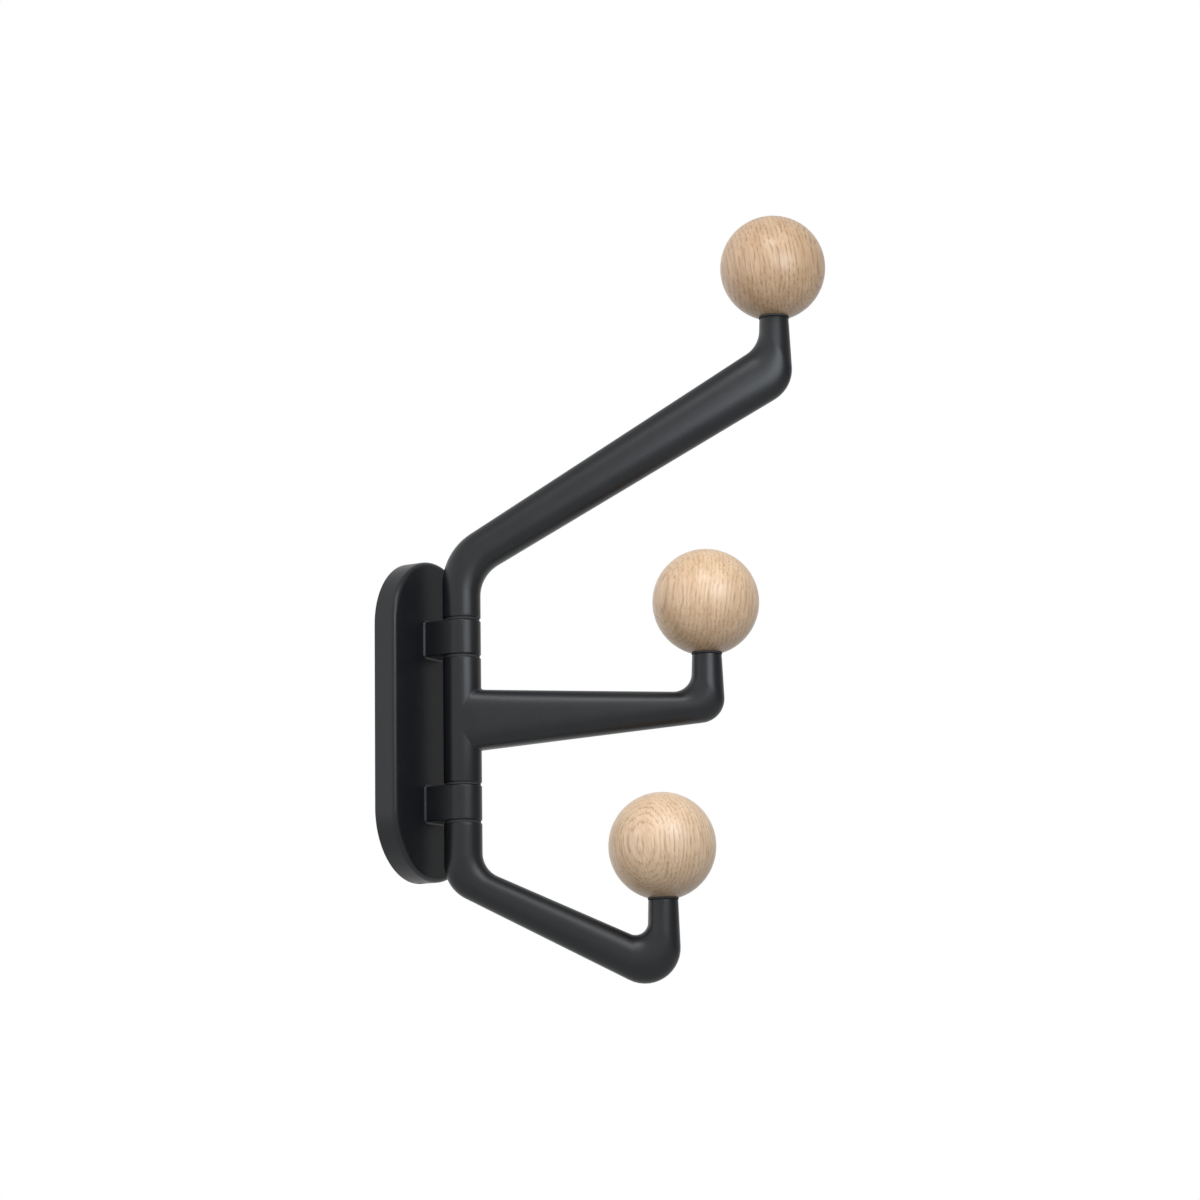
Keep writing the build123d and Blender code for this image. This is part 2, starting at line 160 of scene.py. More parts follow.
class Bench:
    """Adds nodes to one node tree."""

    def __init__(self, tree: bpy.types.NodeTree) -> None:
        """Empties the tree.

        Args:
            tree: the node tree of a material or a world.
        """
        self.tree = tree
        tree.nodes.clear()

    def node(
        self,
        kind: str,
        settings: Optional[Mapping[str, Any]] = None,
        inputs: Optional[Mapping[Any, Any]] = None,
        output: Any = 0,
    ) -> Signal:
        """Adds one node.

        Args:
            kind: the node's type, as Blender names it.
            settings: properties to set first; "stops" fills a colour ramp.
            inputs: values or signals for its sockets, by name or number.
            output: name or number of the socket to return.

        Returns:
            The chosen output.
        """
        made = self.tree.nodes.new(kind)
        for name, value in (settings or {}).items():
            if name == "stops":
                self._fill_ramp(made.color_ramp, value)
            else:
                setattr(made, name, value)
        for name, value in (inputs or {}).items():
            if isinstance(value, Signal):
                self.tree.links.new(value.socket, made.inputs[name])
            else:
                made.inputs[name].default_value = value
        return Signal(self, made.outputs[output] if made.outputs else None)

    @staticmethod
    def _fill_ramp(ramp: bpy.types.ColorRamp, stops: Sequence[tuple[float, Colour]]) -> None:
        """Gives a colour ramp its stops.

        Args:
            ramp: the ramp, with Blender's own two stops.
            stops: places from 0 to 1, each with a colour.
        """
        while len(ramp.elements) < len(stops):
            ramp.elements.new(1.0)
        for element, (place, colour) in zip(ramp.elements, stops):
            element.position = place
            element.color = colour

    def vector(self, operation: str, *values: Any, output: Any = 0) -> Signal:
        """Adds a Vector Math node on the given values and returns one of its outputs."""
        settings = {"operation": operation}
        return self.node("ShaderNodeVectorMath", settings, dict(enumerate(values)), output)

    def place(
        self,
        centre: Sequence[float] = (0.0, 0.0, 0.0),
        turn: Sequence[float] = (0.0, 0.0, 0.0),
    ) -> Signal:
        """Position on the piece in millimetres, from a centre and along turned axes.

        Args:
            centre: the centre, in millimetres.
            turn: angles about X, Y and Z, in degrees.

        Returns:
            The position, as a vector signal.
        """
        where = self.node("ShaderNodeTexCoord", output="Object")
        scaled = self.vector("MULTIPLY", where, (1 / MM,) * 3)
        return self.node(
            "ShaderNodeVectorRotate",
            {"rotation_type": "EULER_XYZ"},
            {
                "Vector": self.vector("SUBTRACT", scaled, tuple(centre)),
                "Rotation": tuple(math.radians(angle) for angle in turn),
            },
        )

    def stretched(self, place: Signal, scale: Sequence[float]) -> Signal:
        """Position with each axis multiplied by its own factor."""
        return self.vector("MULTIPLY", place, tuple(scale))

    def noise(self, place: Signal, grain: Grain) -> Signal:
        """Noise from 0 to 1.

        Args:
            place: the position that it is read at.
            grain: the pattern.

        Returns:
            The noise's value.
        """
        where = self.stretched(place, grain.stretch) if grain.stretch else place
        return self.node(
            "ShaderNodeTexNoise",
            {"noise_dimensions": "3D"},
            {
                "Vector": where,
                "Scale": grain.scale,
                "Detail": grain.detail,
                "Roughness": grain.roughness,
            },
            "Fac",
        )

    def ramp(self, fac: Signal, stops: Sequence[tuple[float, Colour]]) -> Signal:
        """Colour ramp on a signal, with its stops' places and colours."""
        return self.node("ShaderNodeValToRGB", {"stops": stops}, {"Fac": fac}, "Color")

    def mapped(self, value: Signal, band: Point, top: float = 1.0) -> Signal:
        """A signal eased from 0 at a band's low end to a top value at its high end.

        Args:
            value: the signal.
            band: the low and high end, beyond which the result is held.
            top: the value from the high end on.

        Returns:
            The eased signal.
        """
        return self.node(
            "ShaderNodeMapRange",
            {"interpolation_type": "SMOOTHSTEP"},
            {
                "Value": value,
                "From Min": band[0],
                "From Max": band[1],
                "To Min": 0.0,
                "To Max": top,
            },
        )

    def mix(self, fac: Any, one: Any, other: Any) -> Signal:
        """Mix of two colours.

        Args:
            fac: how much of the other there is.
            one: the first colour.
            other: the second colour.

        Returns:
            The mixed colour.
        """
        return self.node(
            "ShaderNodeMix", {"data_type": "RGBA"}, {"Factor": fac, 6: one, 7: other}, 2
        )

    def bump(self, height: Signal, depth_mm: float, under: Optional[Signal] = None) -> Signal:
        """Normal of a surface that is raised where the height is high.

        Args:
            height: a signal from 0 to 1.
            depth_mm: how far the surface rises from 0 to 1.
            under: the normal of another bump that this one lies on.

        Returns:
            The normal.
        """
        inputs: dict[str, Any] = {"Strength": 1.0, "Distance": depth_mm * MM, "Height": height}
        if under:
            inputs["Normal"] = under
        return self.node("ShaderNodeBump", inputs=inputs)

    def surface(self, settings: Mapping[str, Any]) -> None:
        """Ends the tree in a Principled shader with the given sockets."""
        shader = self.node("ShaderNodeBsdfPrincipled", inputs=settings, output="BSDF")
        self.node("ShaderNodeOutputMaterial", inputs={"Surface": shader})


def grey(level: float) -> Colour:
    """A neutral colour."""
    return (level, level, level, 1.0)


# Finishes


class Finish:
    """A surface finish that is made into one Blender material."""

    title: str

    def nodes(self, bench: Bench) -> None:
        """Lays the finish's nodes on a bench."""
        raise NotImplementedError

    def material(self) -> bpy.types.Material:
        """The finish as a material, made once.

        Returns:
            The material.
        """
        known = bpy.data.materials.get(self.title)
        if known:
            return known
        made = bpy.data.materials.new(self.title)
        made.use_nodes = True
        self.nodes(Bench(made.node_tree))
        return made


@dataclass(frozen=True)
class PowderCoat(Finish):
    """Graphite-black powder coat: fine orange peel, a faint mottle and a satin gloss."""

    title: str = "graphite_powder_coat"
    colour: Colour = (0.0032, 0.0043, 0.0062, 1.0)
    paler: Colour = (0.0055, 0.0068, 0.0090, 1.0)
    mottle: Grain = Grain(0.12, 4.0, 0.6)
    grit: Grain = Grain(4.5, 2.0, 0.6)
    peel: Grain = Grain(1.2, 2.0)
    shade_band: Point = (0.35, 0.65)
    grit_depth_mm: float = 0.008
    peel_depth_mm: float = 0.012
    roughness: float = 0.36
    roughness_spread: float = 0.05
    ior: float = 1.43

    def nodes(self, bench: Bench) -> None:
        """Lays the coat's nodes.

        Args:
            bench: the bench that they are laid on.
        """
        place = bench.place()
        mottle = bench.noise(place, self.mottle)
        grit = bench.noise(place, self.grit)
        peel = bench.noise(place, self.peel)
        shade = bench.mapped((mottle + grit) / 2, self.shade_band)
        fine = bench.bump(grit, self.grit_depth_mm)
        bench.surface(
            {
                "Base Color": bench.mix(shade, self.colour, self.paler),
                "Roughness": self.roughness + (mottle - NOISE_MEAN) * self.roughness_spread,
                "IOR": self.ior,
                "Normal": bench.bump(peel, self.peel_depth_mm, fine),
            }
        )


@dataclass(frozen=True)
class TurnedOak(Finish):
    """Turned oak under clear satin lacquer: growth rings, open pores and fine fibre.

    The rings stand about the pith, an axis that passes outside the ball, so they show as
    ovals on the side that faces it and as near-straight lines away from it. The grain runs
    along Z, so every pattern is stretched that way.
    """

    title: str
    centre: Triple
    pith: Point
    turn: Triple
    pale: Colour
    honey: Colour
    dark: Colour = (0.255, 0.140, 0.068, 1.0)
    warp: Grain = Grain(0.085, 3.0, 0.6, (1.0, 1.0, 0.3))
    warp_mm: float = 4.0
    wander: Grain = Grain(1.0, 2.0, 0.5, (0.55, 0.55, 0.10))
    wander_mm: float = 1.0
    ring_mm: float = 1.45
    ring_tones: tuple[Point, ...] = (
        (0.0, 1.0),
        (0.14, 0.8),
        (0.34, 0.2),
        (0.6, 0.0),
        (0.92, 0.05),
        (1.0, 1.0),
    )
    ring_share: float = 0.12
    tint: Grain = Grain(1.0, 2.0, 0.5, (0.3, 0.3, 0.03))
    tint_band: Point = (0.3, 0.7)
    fibre: Grain = Grain(1.0, 3.0, 0.6, (2.2, 2.2, 0.09))
    fibre_band: Point = (0.42, 0.68)
    fibre_share: float = 0.24
    dashes: Grain = Grain(1.0, 1.0, 0.5, (1.3, 1.3, 0.13))
    dash_band: Point = (0.44, 0.60)
    pore_share: float = 0.44
    strays: Grain = Grain(1.0, 1.0, 0.5, (1.9, 1.9, 0.17))
    stray_band: Point = (0.62, 0.70)
    stray_share: float = 0.28
    pore_depth_mm: float = 0.05
    roughness: float = 0.42
    roughness_spread: float = 0.10
    ior: float = 1.45
    coat: float = 0.45
    coat_roughness: float = 0.28

    def nodes(self, bench: Bench) -> None:
        """Lays the wood's nodes.

        Args:
            bench: the bench that they are laid on.
        """
        place = bench.place(self.centre, self.turn)
        level = bench.vector("ADD", bench.stretched(place, (1.0, 1.0, 0.0)), (*self.pith, 0.0))
        warp = bench.noise(place, self.warp) - NOISE_MEAN
        wander = bench.noise(place, self.wander) - NOISE_MEAN
        radius = level.length() + warp * self.warp_mm + wander * self.wander_mm
        ring = (radius / self.ring_mm).fraction()
        early = bench.ramp(ring, [(at, grey(tone)) for at, tone in self.ring_tones])
        dash = bench.mapped(bench.noise(place, self.dashes), self.dash_band)
        stray = bench.mapped(bench.noise(place, self.strays), self.stray_band)
        pore = early * dash * self.pore_share + stray * self.stray_share
        fibre = bench.noise(place, self.fibre)
        streak = bench.mapped(fibre, self.fibre_band, self.fibre_share)
        tint = bench.mapped(bench.noise(place, self.tint), self.tint_band)
        ground = bench.mix(streak, bench.mix(tint, self.pale, self.honey), self.dark)
        ringed = bench.mix(early * self.ring_share, ground, self.dark)
        bench.surface(
            {
                "Base Color": bench.mix(pore, ringed, self.dark),
                "Roughness": self.roughness + fibre * self.roughness_spread,
                "IOR": self.ior,
                "Coat Weight": self.coat,
                "Coat Roughness": self.coat_roughness,
                "Normal": bench.bump(1.0 - pore, self.pore_depth_mm),
            }
        )


@dataclass(frozen=True)
class Nylon(Finish):
    """Matt black nylon with a fine moulded grain."""

    title: str = "black_nylon"
    colour: Colour = grey(0.0015)
    paler: Colour = grey(0.0035)
    grain: Grain = Grain(3.0, 2.0)
    grain_depth_mm: float = 0.01
    roughness: float = 0.75
    roughness_spread: float = 0.1
    ior: float = 1.22

    def nodes(self, bench: Bench) -> None:
        """Lays the nylon's nodes.

        Args:
            bench: the bench that they are laid on.
        """
        grain = bench.noise(bench.place(), self.grain)
        bench.surface(
            {
                "Base Color": bench.mix(grain, self.colour, self.paler),
                "Roughness": self.roughness + grain * self.roughness_spread,
                "IOR": self.ior,
                "Normal": bench.bump(grain, self.grain_depth_mm),
            }
        )


@dataclass(frozen=True)
class PlatedSteel(Finish):
    """Plated steel with a drawn grain: zinc, unless other colours are given."""

    title: str = "zinc_plated_steel"
    colour: Colour = (0.55, 0.56, 0.58, 1.0)
    duller: Colour = (0.42, 0.43, 0.46, 1.0)
    roughness: float = 0.32
    roughness_spread: float = 0.16
    grain: Grain = Grain(4.0, 3.0, 0.6, (1.0, 1.0, 0.08))
    grain_depth_mm: float = 0.004
    cloud: Grain = Grain(0.15)

    def nodes(self, bench: Bench) -> None:
        """Lays the steel's nodes.

        Args:
            bench: the bench that they are laid on.
        """
        place = bench.place()
        grain = bench.noise(place, self.grain)
        cloud = bench.noise(place, self.cloud)
        bench.surface(
            {
                "Base Color": bench.mix(cloud, self.colour, self.duller),
                "Metallic": 1.0,
                "Roughness": self.roughness + (grain - NOISE_MEAN) * self.roughness_spread,
                "Normal": bench.bump(grain, self.grain_depth_mm),
            }
        )


POWDER_COAT = PowderCoat()
NYLON = Nylon()
ZINC = PlatedSteel()
BLACK_OXIDE = PlatedSteel(
    title="black_oxide_steel",
    colour=(0.035, 0.036, 0.04, 1.0),
    duller=(0.02, 0.02, 0.023, 1.0),
    roughness=0.4,
)


# Meshes


def placed(name: str, data: bpy.types.ID) -> bpy.types.Object:
    """Makes an object and links it to the scene.

    Args:
        name: its name.
        data: its mesh, camera or lamp.

    Returns:
        The object.
    """
    made = bpy.data.objects.new(name, data)
    bpy.context.scene.collection.objects.link(made)
    return made


class Loft:
    """Builds one mesh from closed rings of points, each joined to the one before."""

    SHARP_DEGREES: float = 35.0

    def __init__(self) -> None:
        """Starts an empty mesh."""
        self.bm = bmesh.new()

    def shell(self, rings: Sequence[Ring]) -> None:
        """Adds a closed shell: skins between the rings, and a face over each end.

        Args:
            rings: rings of equally many points; a ring of one point closes in a cone.
        """
        laid = [[self.bm.verts.new(point) for point in ring] for ring in rings]
        for low, high in zip(laid, laid[1:]):
            self._skin(low, high)
        for end in (laid[0], laid[-1]):
            if len(end) > 2:
                self.bm.faces.new(end)

    def _skin(
        self, low: Sequence[bmesh.types.BMVert], high: Sequence[bmesh.types.BMVert]
    ) -> None:
        """Joins two rings, of which one may be a single point.

        Args:
            low: the first ring's vertices.
            high: the next ring's vertices.
        """
        count = max(len(low), len(high))
        for i in range(count):
            j = (i + 1) % count
            if len(low) == 1:
                self.bm.faces.new((low[0], high[j], high[i]))
            elif len(high) == 1:
                self.bm.faces.new((low[i], low[j], high[0]))
            else:
                self.bm.faces.new((low[i], low[j], high[j], high[i]))

    def piece(self, name: str) -> bpy.types.Object:
        """Ends the mesh, smooth but for the edges that bend more than SHARP_DEGREES.

        Args:
            name: the piece's name.

        Returns:
            The piece, linked to the scene.
        """
        bmesh.ops.recalc_face_normals(self.bm, faces=self.bm.faces[:])
        mesh = bpy.data.meshes.new(name)
        self.bm.to_mesh(mesh)
        self.bm.free()
        mesh.shade_smooth()
        mesh.set_sharp_from_angle(angle=math.radians(self.SHARP_DEGREES))
        return placed(name, mesh)


def drill(piece: bpy.types.Object, rings: Sequence[Ring]) -> None:
    """Cuts a closed form out of a piece.

    Args:
        piece: the piece.
        rings: the form's rings.
    """
    loft = Loft()
    loft.shell(rings)
    cutter = loft.piece("cutter")
    cut = piece.modifiers.new("hole", "BOOLEAN")
    cut.operation, cut.solver, cut.object = "DIFFERENCE", "EXACT", cutter
    shaped = bpy.data.meshes.new_from_object(
        piece.evaluated_get(bpy.context.evaluated_depsgraph_get())
    )
    piece.modifiers.clear()
    piece.data = shaped
    bpy.data.objects.remove(cutter)


def dress(thing: bpy.types.Object, finish: Finish) -> None:
    """Gives a piece or a CAD node one finish all over.

    Args:
        thing: the object.
        finish: the finish.
    """
    thing.data.materials.clear()
    thing.data.materials.append(finish.material())


def arc(centre: Point, radius: float, start: float, end: float, steps: int) -> list[Point]:
    """Points round an arc, both ends among them.

    Args:
        centre: the arc's centre.
        radius: its radius.
        start: its first angle, in degrees.
        end: its last angle, in degrees.
        steps: how many steps it has.

    Returns:
        The points.
    """
    found = []
    for step in range(steps + 1):
        angle = math.radians(start + (end - start) * step / steps)
        found.append(
            (centre[0] + radius * math.cos(angle), centre[1] + radius * math.sin(angle))
        )
    return found


def turned(axis: Point, profile: Sequence[Point], segments: int) -> list[Ring]:
    """Rings of a turned form about an upright axis.

    Args:
        axis: x and y of the axis, in millimetres.
        profile: radius and height of each ring, in millimetres; radius 0 is a point.
        segments: points round each ring.

    Returns:
        The rings, in metres.
    """
    rings = []
    for radius, z in profile:
        ring = []
        for i in range(segments if radius > 0 else 1):
            angle = math.tau * i / segments
            x, y = axis[0] + radius * math.cos(angle), axis[1] + radius * math.sin(angle)
            ring.append(Vector((x, y, z)) * MM)
        rings.append(ring)
    return rings


# The hook


@dataclass(frozen=True)
class Pivot:
    """The upright pivot that the arms turn about, in millimetres."""

    y: float = -18.7
    barrel_radius: float = 6.25
    sleeve_radius: float = 4.0
    sleeve_length: float = 4.0
    bore_radius: float = 3.3
    bore_depth: float = 10.4
    rim_round: float = 0.4
    swing_degrees: float = 29.0

    def at(self, s: float, t: float, z: float) -> Vector:
        """A point given in an arm's plane.

        Args:
            s: distance out along the arm.
            t: distance to the side of its plane.
            z: height.

        Returns:
            The point in the part's frame, in metres.
        """
        swing = math.radians(self.swing_degrees)
        out = Vector((math.sin(swing), -math.cos(swing), 0.0))
        side = Vector((-math.cos(swing), -math.sin(swing), 0.0))
        return (Vector((0.0, self.y, z)) + out * s + side * t) * MM


PIVOT = Pivot()


@dataclass(frozen=True)
class Edge:
    """One edge of an arm in side view: corner points, each inner one rounded."""

    corners: tuple[Point, ...]
    radii: tuple[float, ...]

    def runs(self, run_steps: int, bend_steps: int) -> list[list[Point]]:
        """Points along each run and bend.

        Args:
            run_steps: steps along a straight run.
            bend_steps: steps round a bend.

        Returns:
            One list of points for each run or bend, in order.
        """
        found = []
        start = Vector(self.corners[0])
        for i, radius in enumerate(self.radii, 1):
            corner = Vector(self.corners[i])
            back = (Vector(self.corners[i - 1]) - corner).normalized()
            on = (Vector(self.corners[i + 1]) - corner).normalized()
            half = back.angle(on) / 2
            reach = radius / math.tan(half)
            centre = corner + (back + on).normalized() * (radius / math.sin(half))
            first, last = corner + back * reach, corner + on * reach
            found.append(self._straight(start, first, run_steps))
            found.append(self._bend(centre, first, last, bend_steps))
            start = last
        found.append(self._straight(start, Vector(self.corners[-1]), run_steps))
        return found

    @staticmethod
    def _straight(start: Vector, end: Vector, steps: int) -> list[Point]:
        """Points along a straight run."""
        return [tuple(start.lerp(end, step / steps)) for step in range(steps + 1)]

    @staticmethod
    def _bend(centre: Vector, first: Vector, last: Vector, steps: int) -> list[Point]:
        """Points round a bend.

        Args:
            centre: the bend's centre.
            first: where it begins.
            last: where it ends.
            steps: steps round it.

        Returns:
            The points, both ends among them.
        """
        ray = first - centre
        sweep = ray.angle_signed(last - centre)
        found = []
        for step in range(steps + 1):
            angle = -sweep * step / steps
            cos, sin = math.cos(angle), math.sin(angle)
            x, y = ray.x * cos - ray.y * sin, ray.x * sin + ray.y * cos
            found.append((centre.x + x, centre.y + y))
        return found


@dataclass(frozen=True)
class Section:
    """A closed section across an arm: an ellipse, or squarer where it is fuller."""

    top: Point
    bottom: Point
    width: float
    fullness: float = ELLIPSE

    def point(self, i: int, around: int) -> Vector:
        """One of the points round the section, starting at its top.

        Args:
            i: which point.
            around: how many there are.

        Returns:
            The point as s, t and z, in millimetres.
        """
        angle = math.tau * i / around
        up, across = math.cos(angle), math.sin(angle)
        full = self.fullness
        reach = (abs(up) ** full + abs(across) ** full) ** (-1 / full)
        share = (1 + up * reach) / 2
        return Vector(
            (
                self.bottom[0] + (self.top[0] - self.bottom[0]) * share,
                self.width / 2 * across * reach,
                self.bottom[1] + (self.top[1] - self.bottom[1]) * share,
            )
        )

    def ring(self, around: int) -> Ring:
        """The section as a ring of points in the part's frame, in metres."""
        return [PIVOT.at(*self.point(i, around)) for i in range(around)]


class Side(Enum):
    """Edge of a bar, with the sign of its side."""

    TOP = 1
    BOTTOM = -1


@dataclass
class Arm:
    """One cast arm, with sizes in millimetres: s runs out from the pivot, z runs up.

    Elbow has the radii of the bar's upper and lower edge where it turns into the neck.
    Bend has those of its inner and outer edge where it turns out of the barrel, or zeros
    for a bar that grows straight out of it. Barrel has the heights of the barrel's ends.
    """

    name: str
    body: str
    reach: float
    ball_height: float
    root_z: float
    tip_z: float
    root_depth: float
    tip_depth: float
    elbow: Point
    barrel: Point
    bend: Point = (0.0, 0.0)
    neck_top_width: float = 9.7
    neck_base_width: float = 11.2
    seat_drop: float = 17.340
    bar_fullness: float = 2.3
    stud_radius: float = 2.5
    stud_hole: float = 13.0
    neck_round: float = 0.35
    run_steps: int = 10
    bend_steps: int = 14
    around: int = 72

    @property
    def neck_top(self) -> float:
        """Height of the neck's flat top."""
        return self.ball_height - self.seat_drop

    def edge(self, side: Side) -> Edge:
        """Top or bottom edge of the bar and neck.

        Args:
            side: which edge.

        Returns:
            The edge, from the barrel to the neck's top.
        """
        sign = side.value
        root, tip = Vector((0.0, self.root_z)), Vector((self.reach, self.tip_z))
        along = (tip - root).normalized()
        square = Vector((-along.y, along.x)) * sign
        bar_start = root + square * (self.root_depth / 2)
        bar_end = tip + square * (self.tip_depth / 2)
        neck_rim = Vector((self.reach - sign * self.neck_top_width / 2, self.neck_top))
        neck_base = Vector((self.reach - sign * self.neck_base_width / 2, self.tip_z))
        elbow = self._crossing(bar_start, bar_end, neck_rim, neck_base)
        corners = [bar_start, elbow, neck_rim]
        radii = [self.elbow[0] if side is Side.TOP else self.elbow[1]]
        if self.bend[0]:
            rising = 1 if self.barrel[1] > self.barrel[0] else -1
            s = -sign * rising * PIVOT.barrel_radius
            foot = Vector((s, self.barrel[1]))
            corner = self._crossing(bar_start, bar_end, foot, foot + Vector((0.0, 1.0)))
            corners = [foot, corner, elbow, neck_rim]
            radii.insert(0, self.bend[1] if sign == rising else self.bend[0])
        return Edge(tuple(tuple(corner) for corner in corners), tuple(radii))

    @staticmethod
    def _crossing(a: Vector, b: Vector, c: Vector, d: Vector) -> Vector:
        """Point where two lines meet.

        Args:
            a: a point on the first line.
            b: another point on it.
            c: a point on the second line.
            d: another point on it.

        Returns:
            The point.
        """
        run, other = b - a, d - c
        share = (c - a).cross(other) / run.cross(other)
        return a + run * share

    def sections(self, widths: Sequence[float], fullness: Sequence[float]) -> list[Section]:
        """Sections of the bar and neck.

        Args:
            widths: width across the bar where one run or bend ends and the next begins.
            fullness: the sections' fullness at the same places.

        Returns:
            The sections, in order.
        """
        tops = self.edge(Side.TOP).runs(self.run_steps, self.bend_steps)
        bottoms = self.edge(Side.BOTTOM).runs(self.run_steps, self.bend_steps)
        found = []
        for i, (top, bottom) in enumerate(zip(tops, bottoms)):
            last = len(top) - 1
            for step, (upper, lower) in enumerate(zip(top, bottom)):
                if step == 0 and found:
                    continue
                share = step / last
                width = widths[i] + (widths[i + 1] - widths[i]) * share
                full = fullness[i] + (fullness[i + 1] - fullness[i]) * math.sqrt(share)
                found.append(Section(upper, lower, min(width, math.dist(upper, lower)), full))
        return found

    def neck_end(self) -> list[Ring]:
        """Rings of the neck's rounded rim, flat top and stud hole.

        Returns:
            The rings, from the rim in to the hole's bottom.
        """
        radius, rim = self.neck_top_width / 2, self.neck_round
        profile = arc((radius - rim, self.neck_top - rim), rim, 0, 90, RIM_STEPS)
        profile.append((self.stud_radius, self.neck_top))
        profile.append((self.stud_radius, self.neck_top - self.stud_hole))
        return [
            Section((self.reach - r, z), (self.reach + r, z), 2 * r).ring(self.around)
            for r, z in profile
        ]


@dataclass
class EndArm(Arm):
    """Upper or lower arm: the bar bends out of a barrel that is open at one end.

    The set screw's hole is cut from outside the barrel's back to inside its bore, and the
    cut stands clear of the barrel's surface and of the axis by the same length.
    """

    barrel_rings: tuple[float, ...] = (1.2, 2.2, 3.2, 4.2, 5.2)
    screw_from_face: float = 6.0
    screw_radius: float = 1.5
    screw_clear: float = 1.0
    screw_segments: int = 32

    def build(self) -> bpy.types.Object:
        """Builds the arm's mesh.

        Returns:
            The arm.
        """
        face, end = self.barrel
        inward = 1 if end > face else -1
        barrel = 2 * PIVOT.barrel_radius
        bar = min(barrel, self.root_depth)
        neck = self.neck_base_width
        widths = (barrel, barrel, bar, neck, neck, self.neck_top_width)
        full = self.bar_fullness
        fullness = (ELLIPSE, ELLIPSE, full, full, ELLIPSE, ELLIPSE)
        rim = PIVOT.rim_round
        profile = [
            (PIVOT.bore_radius, PIVOT.bore_depth),
            (PIVOT.bore_radius, PIVOT.sleeve_length),
            (PIVOT.sleeve_radius, PIVOT.sleeve_length),
            (PIVOT.sleeve_radius, 0.0),
        ]
        curve = arc((rim, PIVOT.barrel_radius - rim), rim, 180, 90, RIM_STEPS)
        profile += [(radius, depth) for depth, radius in curve]
        profile += [(PIVOT.barrel_radius, depth) for depth in self.barrel_rings]
        rings = []
        for radius, depth in profile:
            z = face + inward * depth
            s = -inward * radius
            rings.append(Section((s, z), (-s, z), 2 * radius).ring(self.around))
        rings += [section.ring(self.around) for section in self.sections(widths, fullness)[:-1]]
        rings += self.neck_end()
        loft = Loft()
        loft.shell(rings)
        piece = loft.piece(f"{self.name}_casting")
        drill(piece, self._screw_hole(face + inward * self.screw_from_face))
        return piece

    def _screw_hole(self, z: float) -> list[Ring]:
        """Rings of the set screw's hole in the back of the barrel.

        Args:
            z: height of the hole's axis.

        Returns:
            The rings, from outside the barrel to inside its bore.
        """
        rings = []
        for s in (-PIVOT.barrel_radius - self.screw_clear, -self.screw_clear):
            ring = []
            for i in range(self.screw_segments):
                angle = math.tau * i / self.screw_segments
                across, up = math.cos(angle), math.sin(angle)
                ring.append(PIVOT.at(s, self.screw_radius * across, z + self.screw_radius * up))
            rings.append(ring)
        return rings


